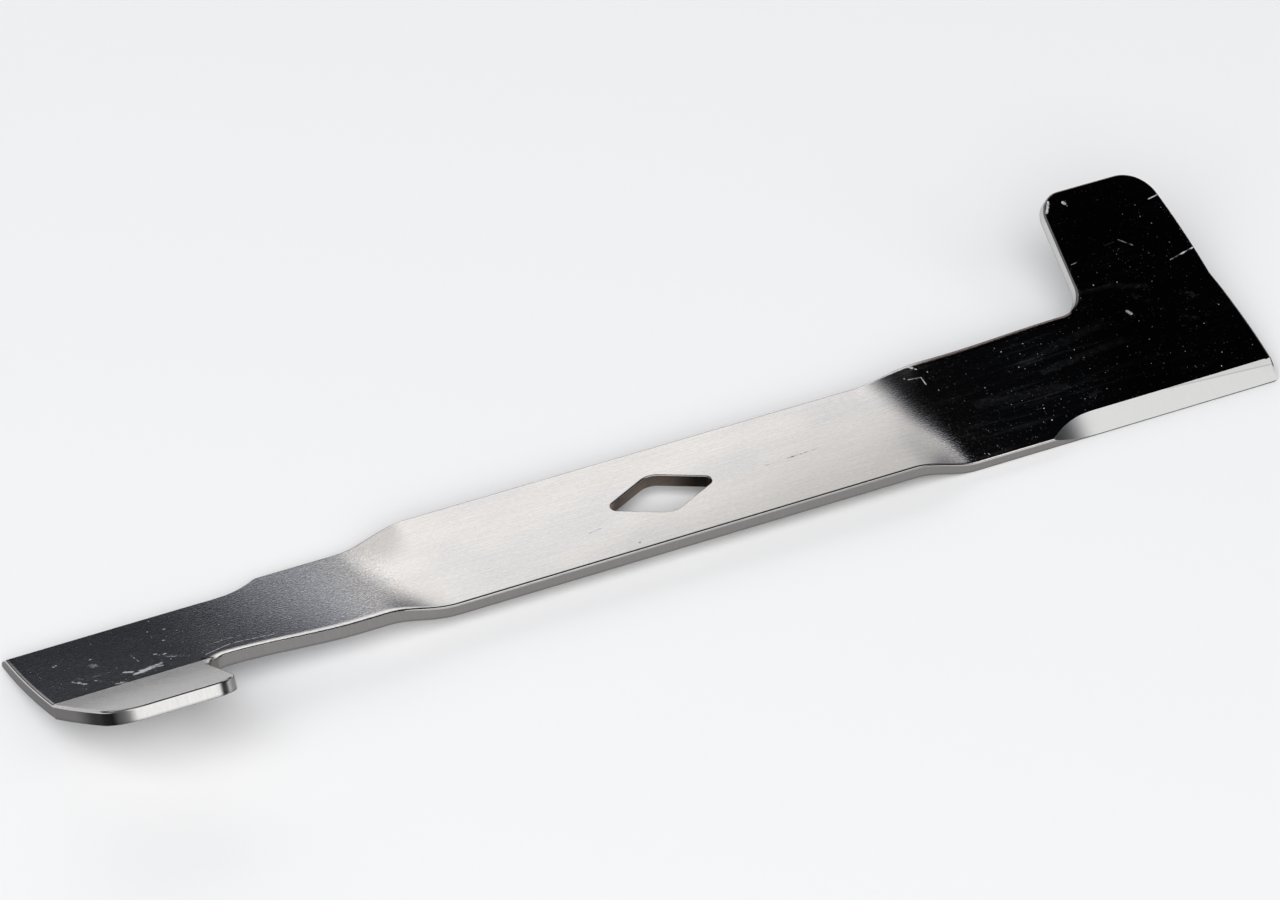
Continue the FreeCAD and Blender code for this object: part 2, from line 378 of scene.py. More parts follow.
# the closed flat blank as a mesh, with what each face is: wall, ground, hole or rolled edge
def makeBlank():
    b = blank
    half, inwards = endOutline()
    outline = np.concatenate([half, -half])
    inwards = np.concatenate([inwards, -inwards])
    hole, outwards = holeOutline()
    # the shears roll the arm's trailing edge over further than the rest
    along, across = np.abs(outline[:, 0]), outline[:, 1] * np.sign(outline[:, 0]) + b["halfWidth"]
    roll = np.interp(along, b["rollSetsIn"], (0, 1)) * (along < b["rollEnds"])
    roll = roll * np.interp(across, b["rollAcross"], (0, 1, 0))
    rollWidth, rollDepth = 1 + (b["rollWidth"] - 1) * roll, 1 + (b["rollDepth"] - 1) * roll
    plain = np.ones(len(hole))

    # each ring: how far in from the outline, and the height of a plain edge there
    def profile(edgeRound, wide, deep):
        rings = [(edgeRound * wide + b["support"], b["thickness"] + 0 * wide)]
        for degrees in b["edgeAngles"]:
            angle = math.radians(degrees)
            inset = edgeRound * wide * (1 - math.sin(angle))
            rings.append((inset, b["thickness"] - edgeRound * deep * (1 - math.cos(angle))))
        return rings

    bottomRings = []
    low = b["bottomEdgeRound"]
    for degrees in b["bottomAngles"]:
        angle = math.radians(degrees)
        bottomRings.append((low * (1 - math.cos(angle)), low * (1 - math.sin(angle))))
    bottomRings.append((low + b["support"], 0.0))

    vertices, faces, marks = [], [], []

    def addRings(loop, into, edgeRound, wide, deep, inner):
        rings = []
        for inset, height in profile(edgeRound, wide, deep):
            places = loop + into * inset[:, None]
            rings.append((places, np.minimum(height, groundHeight(places))))
        wall = rings[-1][1]
        rings.append((loop, wall - b["wallBand"] * (wall - low)))
        rings.append((loop, low + b["wallBand"] * (wall - low)))
        for inset, height in bottomRings:
            rings.append((loop + into * inset, np.full(len(loop), height)))
        count = len(loop)
        first = len(vertices)
        for places, heights in rings:
            vertices.extend((x, v, h) for (x, v), h in zip(places, heights))
        for k in range(len(rings) - 1):
            for i in range(count):
                j = (i + 1) % count
                quad = (first + k * count + i, first + (k + 1) * count + i,
                        first + (k + 1) * count + j, first + k * count + j)
                faces.append(quad[::-1] if inner else quad)
                marks.append("edge" if k < len(b["edgeAngles"]) else ("hole" if inner else "wall"))
        return first, first + (len(rings) - 1) * count

    outlineTop, outlineBottom = addRings(outline, inwards, b["topEdgeRound"], rollWidth, rollDepth, False)
    holeTop, holeBottom = addRings(hole, outwards, b["holeEdgeRound"], plain, plain, True)
    oneEnd = endLines()
    topLines = oneEnd + [-line for line in oneEnd]
    bends = oneEnd[:b["bendLines"]]
    bendLines = bends + [-line for line in bends]
    for top, lines in ((True, topLines), (False, bendLines)):
        rounded = b["topEdgeRound"] * rollWidth if top else low * np.ones(len(outline))
        inset = (rounded + b["support"])[:, None]
        holeInset = (b["holeEdgeRound"] if top else low) + b["support"]
        outer, inner = outline + inwards * inset, hole + outwards * holeInset
        places, triangles, origin = faceTriangles(outer, inner, lines)
        heights = np.minimum(b["thickness"], groundHeight(places)) if top else np.zeros(len(places))
        index = []
        for i, source in enumerate(origin):
            if 0 <= source < len(outline):
                index.append((outlineTop if top else outlineBottom) + source)
            elif 0 <= source < len(outline) + len(hole):
                index.append((holeTop if top else holeBottom) + source - len(outline))
            else:
                index.append(len(vertices))
                vertices.append((*places[i], heights[i]))
        for triangle in triangles:
            corners = [index[i] for i in triangle]
            a, c, d = (places[i] for i in triangle)
            leftTurn = (c[0] - a[0]) * (d[1] - a[1]) - (c[1] - a[1]) * (d[0] - a[0]) > 0
            faces.append(corners if leftTurn == top else corners[::-1])
            marks.append("skin")
    mesh = bpy.data.meshes.new("bladeBlank")
    mesh.from_pydata([Vector(p) * mm for p in vertices], [], faces)
    heights = np.array([p[2] for p in vertices])
    spots = np.array([p[:2] for p in vertices])
    ground = groundHeight(spots)
    for name in ("wall", "ground", "hole", "edge"):
        layer = mesh.attributes.new(name, "FLOAT", "FACE")
        values = []
        for face, mark in zip(faces, marks):
            above = ground[list(face)] - heights[list(face)]
            onGround = mark != "wall" and above.min() < b["tolerance"] and above.max() < b["onGround"]
            values.append(float(onGround if name == "ground" else mark == name and not onGround))
        layer.data.foreach_set("value", values)
    tidy = bmesh.new()
    tidy.from_mesh(mesh)
    bmesh.ops.remove_doubles(tidy, verts=tidy.verts, dist=b["merge"])
    bmesh.ops.dissolve_degenerate(tidy, dist=b["tolerance"], edges=tidy.edges)
    bmesh.ops.triangulate(tidy, faces=[f for f in tidy.faces if len(f.verts) > 4])
    for face in tidy.faces:
        face.smooth = True
    ends = np.array([[e.verts[0].co / mm, e.verts[1].co / mm] for e in tidy.edges])[:, :, :2]
    onFacet = np.zeros(len(ends), bool)
    for line in (oneEnd[-1], -oneEnd[-1]):
        near = [distanceToRuns(ends[:, i], line[:-1], line[1:]) < b["onLine"] for i in (0, 1)]
        onFacet |= near[0] & near[1]
    for edge, facet in zip(tidy.edges, onFacet):
        bent = edge.is_manifold and edge.calc_face_angle() > math.radians(b["sharpEdge"])
        edge.smooth = not (bent or facet)
    openEdges = sum(1 for e in tidy.edges if not e.is_manifold)
    tidy.to_mesh(mesh)
    tidy.free()
    print("blank:", len(mesh.polygons), "faces,", openEdges, "open edges")
    return mesh


# forming: the press and the folding machine as one geometry tree, which turns the flat blank into the blade
forming = {
    "Width": blank["width"] * mm, "Thickness": blank["thickness"] * mm,
    "Shoulder Start": 87.8 * mm, "Shoulder End": 113.5 * mm, "Shoulder Twist": math.radians(12.8),
    "Cutting Drop": 6.3 * mm, "Cutting Shift": 1.4 * mm,
    "Arm Twist": math.radians(3.1), "Arm Twist Start": 123 * mm,
    "Arm Flat From": (blank["wingStart"] - blank["wingRootRadius"]) * mm,
    "Wing Bend": blank["bend"], "Wing Bend Radius": blank["wingBendRadius"] * mm,
}


def formingTree():
    tree = bpy.data.node_groups.new("formBlade", "GeometryNodeTree")
    tree.interface.new_socket("Blank", in_out="INPUT", socket_type="NodeSocketGeometry")
    for name in forming:
        tree.interface.new_socket(name, in_out="INPUT", socket_type="NodeSocketFloat")
    tree.interface.new_socket("Steel", in_out="INPUT", socket_type="NodeSocketMaterial")
    tree.interface.new_socket("Blade", in_out="OUTPUT", socket_type="NodeSocketGeometry")
    start = tree.nodes.new("NodeGroupInput")
    size = {item.name: Wire(tree, start.outputs[item.name]) for item in tree.interface.items_tree
            if item.in_out == "INPUT"}
    w = Wire(tree)
    position = w.node("GeometryNodeInputPosition")
    x, v, high = position.parts()
    side = 1 - 2 * w.math("LESS_THAN", x, 0.0)
    along = x * side
    across = v * side + size["Width"] * 0.5
    # the wing folds up about a line along the trailing edge
    over = (across - size["Width"]).larger(0.0)
    turned = (over / size["Wing Bend Radius"]).smaller(size["Wing Bend"])
    flatWing = (over - size["Wing Bend Radius"] * size["Wing Bend"]).larger(0.0)
    radius = size["Wing Bend Radius"] + size["Thickness"] - high
    armAcross = (across.smaller(size["Width"]) + radius * w.math("SINE", turned)
                 + flatWing * w.math("COSINE", size["Wing Bend"]))
    armHigh = (size["Thickness"] + size["Wing Bend Radius"] - radius * w.math("COSINE", turned)
               + flatWing * w.math("SINE", size["Wing Bend"]))
    # the shoulder twists the section and drops its leading edge, and the arm twists on slowly
    fall = along.ease(size["Shoulder Start"], size["Shoulder End"])
    armTwist = along.ease(size["Arm Twist Start"], size["Arm Flat From"]) * size["Arm Twist"]
    twist = fall * size["Shoulder Twist"] + armTwist
    sine, cosine = w.math("SINE", twist), w.math("COSINE", twist)
    y = size["Cutting Shift"] * fall - size["Width"] * 0.5 + armAcross * cosine - armHigh * sine
    z = armAcross * sine + armHigh * cosine - size["Thickness"] - size["Cutting Drop"] * fall
    formed = w.node("ShaderNodeCombineXYZ", None, {0: x, 1: y * side, 2: z})
    kept = w.node("GeometryNodeStoreNamedAttribute", {"data_type": "FLOAT_VECTOR", "domain": "POINT"},
                  {"Geometry": size["Blank"], "Name": "blankPlace", "Value": position})
    moved = w.node("GeometryNodeSetPosition", None, {"Geometry": kept, "Position": formed})
    real = w.node("GeometryNodeRealizeInstances", None, {0: moved})
    named = w.node("GeometryNodeSetMaterial", None, {"Geometry": real, "Material": size["Steel"]})
    end = tree.nodes.new("NodeGroupOutput")
    tree.links.new(named.socket, end.inputs[0])
    return tree


# the steel: cold-rolled plate, blanked, formed and ground
steel = {
    "colour": (0.585, 0.572, 0.567, 1.0), "warmColour": (0.60, 0.578, 0.56, 1.0),
    # the arm colour is painted shade, and the wing wall colour is a painted reflection
    "paintedArmShadeColour": (0.42, 0.43, 0.46, 1.0), "dustColour": (0.60, 0.61, 0.62, 1.0),
    "wallColour": (0.275, 0.266, 0.26, 1.0), "paintedWingWallReflection": (0.66, 0.655, 0.64, 1.0),
    "holeColour": (0.21, 0.17, 0.145, 1.0), "copperColour": (0.57, 0.36, 0.30, 1.0),
    "groundColour": (0.66, 0.66, 0.645, 1.0), "tintColour": (0.10, 0.072, 0.06, 1.0),
    "grazing": (0.74, 0.74, 0.74, 1.0),
    "roughness": 0.17, "armRoughness": 0.075, "wallRoughness": 0.33, "wingWallRoughness": 0.2,
    "groundRoughness": 0.28, "holeRoughness": 0.45, "dustRoughness": 0.45,
    "rollRoughness": 0.05, "cloudRoughness": 0.04, "dustMetal": 0.9,
    "grainHeight": 0.006, "peelHeight": 0.055,  # mm
    "streakDust": 0.02, "speckDust": 0.8,
    # how strongly each pattern and each shade changes the colour
    "rollGrain": 0.34, "fineGrain": 0.4, "cloudGrain": 0.3, "sandGrain": 1.7,
    # among these shades, those of the middle, the outer arms, the wall corners, the tip and the hole's right
    # end are painted shade
    "paintedMiddleShadeDepth": 0.34, "paintedOuterShade": 0.62, "pitShade": 0.75, "scoreShade": 0.8, "tintShade": 0.9,
    "tipCornerShade": 0.95, "innerCornerShade": 0.6, "tipShade": 0.4, "holePaintedShadeAndMarks": 0.8, "facetShade": 0.22,
    # painted shade in the middle: it deepens by this much a mm along x, lessens across, and runs between two
    # values
    "middleShadeAlong": 0.006, "middleShadeAcross": 0.02, "middleShadeRange": (-0.2, 1.1),
    # the shades between which a band or a pattern runs
    "shearBandShades": (0.72, 1.0), "shearMarkShades": (0.9, 1.1), "punchMarkShades": (0.8, 1.2),
    "wheelMarkShades": (0.95, 1.05), "smearShades": (0.3, 1.0), "speckShades": (0.45, 1.25),
    # where a dot or a stroke fades, as a share of its half width, and how ragged its rim is
    "dotRim": (0.6, 1.3), "dotRagged": (0.4, 1.6), "dotFade": 0.9,
    "strokeRim": (0.6, 1.4), "strokeRagged": 1.5, "strokeBroken": 3.0,
    # the peel's strength in the middle and on the arms, and what it loses near the wings
    "peelShares": (0.12, 1.0), "peelLoss": 0.45,
}
# where a look sets in, from and to in mm: along from the axis, across from the leading edge, x, or height
steelZones = {
    "arms": (92.0, 116.0), "paintedArmShade": (104.0, 135.0), "outerArm": (148.0, 192.0), "smoothArm": (150.0, 185.0),
    "rightArm": (100.0, 122.0), "rightHalf": (-1.0, 1.0), "topFace": (4.7, 4.95), "shearBand": (0.3, 1.1),
    "wingTop": (50.2, 50.9), "rightWing": (150.0, 170.0),
    "outerWall": (70.0, 80.0), "outerWallEnd": (217.0, 222.0),
    "innerWall": (184.0, 190.0), "innerWallFrom": (51.0, 56.0),
    "tipCorner": (221.0, 225.0), "tipCornerFrom": (66.0, 82.0), "tip": (226.0, 231.0),
    "innerCorner": (183.5, 187.0), "innerCornerFrom": (80.0, 90.0),
    "copper": (-18.8, -15.8), "holeRight": (4.0, 16.0),
    "farEdge": (30.0, 45.0), "farEdgeWing": (184.0, 188.0), "farEdgeEnd": (51.0, 54.0),
    # the facet's line: by the distance from it, and by the share of its length
    "facetLine": (0.1, 0.35), "facetLineStart": (0.0, 0.05),
    # and by a pattern's value
    "dashes": (0.46, 0.54), "streaks": (0.5, 0.78), "thickDust": (0.42, 0.62), "haze": (0.4, 0.6),
    "warm": (0.35, 0.65),
}
# patterns in the steel: how often they repeat a mm along, across and up, their detail and roughness
steelPatterns = {
    "ragged": ((1.1, 1.1, 1.1), 3.0, 0.65), "rollMarks": ((0.05, 2.0, 1.0), 4.0, 0.55),
    "fineGrain": ((0.5, 1.6, 1.0), 3.0, 0.7), "clouds": ((0.02, 0.05, 0.05), 3.0, 0.55),
    "peel": ((1.5, 1.7, 1.5), 2.0, 0.55), "sand": ((1.7, 2.0, 1.7), 2.0, 0.6),
    "dashes": ((0.42, 0.42, 0.42), 1.0, 0.55), "streaks": ((0.035, 0.8, 0.3), 3.0, 0.55),
    "shearMarks": ((1.6, 1.6, 0.2), 3.0, 0.55), "punchMarks": ((1.4, 1.4, 0.5), 3.0, 0.55),
    "wheelMarks": ((2.4, 0.25, 0.25), 3.0, 0.55),
}
# dust specks in three sizes, and pits: cell size in mm, dot radius in mm, share of cells with one, strength
steelSpecks = [(3.2, 0.27, 0.22, 1.0), (1.5, 0.18, 0.28, 0.5), (0.8, 0.14, 0.26, 0.24)]
steelPits = (9.0, 0.42, 0.16)
# marks on the top face: start and end on the blank in mm, half width, strength, and how broken up it is
steelMarks = [
    # right arm, by the shoulder
    (106.6, 18.5, 111.2, 17.7, 0.14, 0.7, 0.4), (111.2, 17.7, 111.5, 14.1, 0.2, 0.7, 0.3),
    (109.0, 24.0, 110.2, 22.9, 0.45, 0.9, 0.3), (111.0, 22.0, 111.3, 21.7, 0.25, 0.7, 0.3),
    # right wing
    (190.4, 66.6, 191.0, 65.9, 0.5, 0.85, 0.2), (185.0, 68.2, 182.8, 64.4, 0.45, 0.85, 0.3),
    (223.0, 58.9, 227.4, 59.6, 0.2, 0.8, 0.2), (221.4, 34.1, 233.4, 36.5, 0.24, 0.85, 0.75),
    (196.0, 18.9, 196.8, 17.4, 0.6, 0.85, 0.3), (231.0, 53.0, 232.5, 53.2, 0.2, 0.7, 0.5),
    (205.0, 47.0, 209.5, 43.5, 0.22, 0.4, 0.8), (199.0, 46.2, 203.0, 46.6, 0.16, 0.3, 0.8),
    (212.0, 72.4, 216.0, 73.0, 0.24, 0.7, 0.5), (183.6, 42.6, 186.0, 43.0, 0.18, 0.4, 0.5),
    # left arm and wing
    (-203.4, -20.9, -198.6, -20.2, 0.65, 0.9, 0.45), (-200.8, -20.3, -196.4, -19.4, 1.05, 0.95, 0.4),
    (-197.0, -19.3, -193.2, -18.4, 0.6, 0.9, 0.45), (-195.4, -20.0, -193.4, -20.4, 0.4, 0.8, 0.45),
    (-206.2, -17.2, -203.6, -18.6, 0.5, 0.8, 0.4), (-186.8, -2.2, -186.5, -2.4, 0.4, 0.7, 0.4),
    (-183.8, 5.9, -183.5, 5.9, 0.35, 0.6, 0.4), (-192.8, -10.6, -192.2, -10.7, 0.4, 0.75, 0.5),
    (-190.2, -12.5, -189.7, -12.4, 0.45, 0.8, 0.4), (-192.0, -12.0, -191.6, -12.2, 0.3, 0.6, 0.5),
    (-199.8, -6.7, -199.1, -12.5, 0.14, 0.5, 0.6), (-213.6, -5.2, -212.6, -7.4, 1.1, 0.3, 0.9),
    (-222.8, -13.2, -219.5, -17.8, 0.5, 0.65, 0.9), (-216.2, -17.0, -214.8, -18.6, 0.4, 0.6, 0.8),
    (-209.8, -23.9, -209.2, -23.8, 0.5, 0.6, 0.4), (-211.2, -23.8, -207.8, -24.6, 0.5, 0.5, 0.5),
    (-224.8, 2.0, -224.0, 2.2, 0.5, 0.7, 0.5), (-212.8, -0.8, -212.2, -0.6, 0.4, 0.6, 0.5),
    (-178.2, -21.7, -168.6, -19.0, 0.17, 0.7, 0.25), (-168.6, -19.0, -153.0, -19.9, 0.15, 0.6, 0.5),
    (-175.8, -15.1, -163.4, -14.7, 0.13, 0.45, 0.6), (-233.6, 18.6, -233.2, 18.2, 0.4, 0.7, 0.3),
    (-134.2, 2.6, -133.2, 2.4, 0.3, 0.6, 0.5), (-150.4, 8.8, -149.6, 8.9, 0.3, 0.5, 0.5),
    (-192.4, -13.0, -186.0, -17.4, 0.5, 0.35, 0.9), (-221.0, -12.0, -212.0, -15.0, 0.6, 0.2, 0.9),
]
# wiped oil, as faint broad smears, given the same way
steelSmears = [
    (153.9, 4.2, 188.3, 7.7, 1.3, 0.05, 0.5), (148.3, 10.2, 184.3, 17.4, 1.6, 0.035, 0.5),
    (125.5, -1.1, 158.4, -4.3, 1.8, 0.035, 0.5), (180.7, 31.3, 194.0, 31.0, 0.9, 0.035, 0.5),
    (194.0, 31.0, 207.7, 27.2, 0.9, 0.04, 0.5), (219.6, 20.2, 223.0, 17.8, 1.1, 0.1, 0.9),
    (214.0, 10.0, 219.0, 8.2, 0.9, 0.06, 0.9), (163.0, -12.0, 170.0, -10.5, 0.9, 0.06, 0.9),
    (202.0, 24.0, 206.0, 21.0, 1.0, 0.06, 0.9),
]
# thin dark scores, given the same way
steelScores = [
    (39.8, -1.5, 60.5, -0.6, 0.17, 0.55, 0.75), (50.4, -1.1, 51.6, -1.0, 0.3, 0.9, 0.4),
    (54.0, -0.9, 54.6, -0.9, 0.25, 0.8, 0.4), (-32.2, -9.5, -25.0, -8.3, 0.15, 0.45, 0.8),
]


def makeSteel():
    material = bpy.data.materials.new("bladeSteel")
    material.use_nodes = True
    tree = material.node_tree
    tree.nodes.clear()
    w = Wire(tree)
    place = w.node("ShaderNodeAttribute", {"attribute_name": "blankPlace"}, out="Vector")
    inMm = w.node("ShaderNodeVectorMath", {"operation": "SCALE"}, {0: place, "Scale": 1000.0})
    x, v, high = inMm.parts()
    wall, ground, hole, edge = (w.node("ShaderNodeAttribute", {"attribute_name": name}, out="Fac")
                                for name in ("wall", "ground", "hole", "edge"))
    along = w.math("ABSOLUTE", x)
    across = v * w.math("SIGN", x) + blank["halfWidth"]

    def zone(value, name):
        return value.ease(*steelZones[name])

    def pattern(name):
        scale, detail, roughness = steelPatterns[name]
        stretched = w.node("ShaderNodeVectorMath", {"operation": "MULTIPLY"}, {0: inMm, 1: scale})
        return w.node("ShaderNodeTexNoise", None,
                      {"Vector": stretched, "Scale": 1.0, "Detail": detail, "Roughness": roughness})

    ragged = pattern("ragged")

    # dots spread over the steel, with uneven rims
    def dots(cell, radius, share):
        cells = w.node("ShaderNodeTexVoronoi", {"feature": "F1"},
                       {"Vector": inMm, "Scale": 1 / cell, "Randomness": 1.0}, out="Distance").socket.node
        chance = w.node("ShaderNodeSeparateColor", None, {0: Wire(tree, cells.outputs["Color"])})
        reach = Wire(tree, cells.outputs["Distance"]) * ragged.between(*steel["dotRagged"])
        low, high = (part * radius / cell for part in steel["dotRim"])
        return (1 - reach.ease(low, high)) * chance.ease(1 - share, 1 - steel["dotFade"] * share)

    rollMarks, fineGrain, clouds = pattern("rollMarks"), pattern("fineGrain"), pattern("clouds")
    dashes, streaks = (zone(pattern(name), name) for name in ("dashes", "streaks"))
    skin = 1 - wall - hole - ground
    onTop = zone(high, "topFace") * skin
    arms = zone(along, "arms")

    # rows of marks as one mask: each is a line with round ends, its rim ragged and its length broken up
    def strokes(rows):
        drawn = None
        for x0, v0, x1, v1, halfWidth, strength, broken in rows:
            length = math.hypot(x1 - x0, v1 - v0)
            ax, av = (x1 - x0) / length, (v1 - v0) / length
            run = (x - x0) * ax + (v - v0) * av
            past = run - run.larger(0.0).smaller(length)
            off = (v - v0) * ax - (x - x0) * av
            spread = w.math("SQRT", past * past + off * off) / halfWidth
            spread = spread + (ragged - 0.5) * (steel["strokeRagged"] + steel["strokeBroken"] * broken)
            mark = (1 - spread.ease(*steel["strokeRim"])) * strength * (1 - broken + dashes * broken)
            drawn = mark if drawn is None else drawn.larger(mark)
        return drawn

    # dust, chips and scratches show as pale matt places
    marks = strokes(steelMarks)
    smears = strokes(steelSmears) * streaks.between(*steel["smearShades"])
    scores = strokes(steelScores) * onTop
    specks = None
    for cell, radius, share, strength in steelSpecks:
        layer = dots(cell, radius, share) * strength
        specks = layer if specks is None else specks.larger(layer)
    specks = specks * zone(clouds, "thickDust").between(*steel["speckShades"])
    haze = streaks * zone(clouds, "haze") * steel["streakDust"]
    dust = marks.larger((specks * steel["speckDust"] + haze + smears) * arms) * onTop
    pits = dots(*steelPits) * (1 - arms) * onTop

    # colour: the rolled skin, then what the shears, the punch and the grinding wheel leave
    skinColour = zone(clouds, "warm").blend(steel["colour"], steel["warmColour"])
    # painted shade: the arms are painted dark, except on the left wing's top and the rounded edges
    paintedDarkArms = (1 - zone(across, "wingTop") * (1 - zone(x, "rightWing"))) * (1 - edge)
    skinColour = (zone(along, "paintedArmShade") * paintedDarkArms).blend(skinColour, steel["paintedArmShadeColour"])
    # painted shade: the middle darkens towards its right end and towards the -v edge
    paintedMiddleShade = (x * steel["middleShadeAlong"] - v * steel["middleShadeAcross"]).ease(*steel["middleShadeRange"]) * (1 - arms)
    grain = 1 + (rollMarks - 0.5) * steel["rollGrain"] + (fineGrain - 0.5) * steel["fineGrain"]
    grain = grain + (clouds - 0.5) * steel["cloudGrain"]
    grain = grain * (1 + (pattern("sand") - 0.5) * steel["sandGrain"] * arms * paintedDarkArms)
    # painted shade: the dark arms are darker still towards their outer ends; the grain, pits and scores are
    # the steel's own
    shade = (1 - paintedMiddleShade * steel["paintedMiddleShadeDepth"]) * (1 - zone(along, "outerArm") * paintedDarkArms * steel["paintedOuterShade"])
    shade = shade * grain * (1 - pits * steel["pitShade"]) * (1 - scores * steel["scoreShade"])
    colour = shade.scaling(skinColour)
    farEdge = zone(across, "farEdge") * (1 - (1 - zone(x, "farEdgeWing")) * zone(across, "farEdgeEnd"))
    colour = (edge * zone(x, "rightArm") * farEdge * steel["tintShade"]).blend(colour, steel["tintColour"])

    # painted reflection and shade: the wing's walls are painted bright, and painted shade darkens them at its
    # corners and along the tip
    innerWall = (1 - zone(along, "innerWall")) * zone(across, "innerWallFrom") * zone(x, "rightHalf")
    wingWall = (zone(across, "outerWall") * (1 - zone(along, "outerWallEnd"))).larger(innerWall)
    shear = zone(high, "shearBand").between(*steel["shearBandShades"])
    shear = shear * pattern("shearMarks").between(*steel["shearMarkShades"])
    tipCorner = zone(along, "tipCorner") * zone(across, "tipCornerFrom")
    innerCorner = (1 - zone(along, "innerCorner")) * zone(across, "innerCornerFrom")
    innerCorner = innerCorner * (1 - zone(x, "rightHalf"))
    paintedWallShade = (1 - tipCorner * steel["tipCornerShade"]) * (1 - innerCorner * steel["innerCornerShade"])
    paintedWallShade = paintedWallShade * (1 - zone(along, "tip") * steel["tipShade"])
    wallColour = (shear * paintedWallShade).scaling(wingWall.blend(steel["wallColour"], steel["paintedWingWallReflection"]))

    # painted shade: the hole's wall darkens towards its right end; the punch marks vary it
    holePaintedShadeAndMarks = 1 - zone(x, "holeRight") * steel["holePaintedShadeAndMarks"]
    holePaintedShadeAndMarks = holePaintedShadeAndMarks * pattern("punchMarks").between(*steel["punchMarkShades"])
    holeColour = holePaintedShadeAndMarks.scaling((1 - zone(x, "copper")).blend(steel["holeColour"], steel["copperColour"]))

    # the ground edge, with a fine dark line where its facet starts
    lineShare = (along - blank["facetStart"]) / (blank["halfLength"] - blank["facetStart"])
    lineAcross = blank["edgeWidth"] - lineShare * blank["facetWidth"] * math.cos(blank["edgeSlope"])
    facetLine = 1 - zone(w.math("ABSOLUTE", across - lineAcross), "facetLine")
    facetLine = facetLine * zone(lineShare, "facetLineStart")
    groundShade = pattern("wheelMarks").between(*steel["wheelMarkShades"])
    groundShade = groundShade * (1 - facetLine * steel["facetShade"])
    groundColour = groundShade.scaling(steel["groundColour"][:3])
    colour = wall.blend(colour, wallColour)
    colour = hole.blend(colour, holeColour)
    colour = ground.blend(colour, groundColour)
    colour = dust.blend(colour, steel["dustColour"])

    roughness = arms.between(steel["roughness"], steel["armRoughness"])
    roughness = roughness + (rollMarks - 0.5) * steel["rollRoughness"]
    roughness = roughness + (clouds - 0.5) * steel["cloudRoughness"]
    wallRoughness = wingWall.between(steel["wallRoughness"], steel["wingWallRoughness"])
    roughness = roughness * skin + wall * wallRoughness + ground * steel["groundRoughness"]
    roughness = roughness + hole * steel["holeRoughness"] + dust * steel["dustRoughness"]
    grainHeight = rollMarks * steel["grainHeight"] * mm
    # the peel is strongest on the arms, and weaker near the wings
    peeled = skin * (arms.between(*steel["peelShares"]) - steel["peelLoss"] * zone(along, "smoothArm"))
    peelHeight = pattern("peel") * peeled * steel["peelHeight"] * mm
    bump = w.node("ShaderNodeBump", None,
                  {"Strength": 1.0, "Distance": 1.0, "Height": grainHeight + peelHeight}, out="Normal")
    shader = w.node("ShaderNodeBsdfPrincipled", None,
                    {"Base Color": colour, "Metallic": 1 - dust * steel["dustMetal"], "Roughness": roughness,
                     "Specular Tint": steel["grazing"], "Normal": bump})
    output = tree.nodes.new("ShaderNodeOutputMaterial")
    tree.links.new(shader.socket, output.inputs["Surface"])
    print("steel mixed:", len(tree.nodes), "nodes")
    return material


def makeBlade():
    material = makeSteel()
    mesh = makeBlank()
    mesh.materials.append(material)
    blade = bpy.data.objects.new("bladeSteel", mesh)
    bpy.context.scene.collection.objects.link(blade)
    tree = formingTree()
    former = blade.modifiers.new("forming", "NODES")
    former.node_group = tree
    for item in tree.interface.items_tree:
        if item.in_out == "INPUT" and item.name in forming:
            former[item.identifier] = forming[item.name]
        elif item.in_out == "INPUT" and item.name == "Steel":
            former[item.identifier] = material
    shown = bpy.context.evaluated_depsgraph_get()
    formed = bpy.data.meshes.new_from_object(blade.evaluated_get(shown),
                                             preserve_all_data_layers=True, depsgraph=shown)
    blade.modifiers.remove(former)
    blade.data = formed
    formed.name = "bladeSteel"
    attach(blade, "root")
    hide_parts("blade")
    print("blade formed:", len(formed.polygons), "faces")
    return blade


makeBlade()


# the floor
floor = {"height": -11.5 * mm, "size": 8.0, "colour": (0.93, 0.93, 0.93, 1.0), "roughness": 0.9}


def makeFloor():
    half = floor["size"] / 2
    mesh = bpy.data.meshes.new("floor")
    mesh.from_pydata([(-half, -half, floor["height"]), (half, -half, floor["height"]),
                      (half, half, floor["height"]), (-half, half, floor["height"])], [], [(0, 1, 2, 3)])
    sheet = bpy.data.objects.new("floor", mesh)
    bpy.context.scene.collection.objects.link(sheet)
    material = bpy.data.materials.new("floorPaper")
    material.use_nodes = True
    shader = material.node_tree.nodes["Principled BSDF"]
    shader.inputs["Base Color"].default_value = floor["colour"]
    shader.inputs["Roughness"].default_value = floor["roughness"]
    shader.inputs["Specular IOR Level"].default_value = 0.0
    mesh.materials.append(material)
    print("floor laid")


makeFloor()


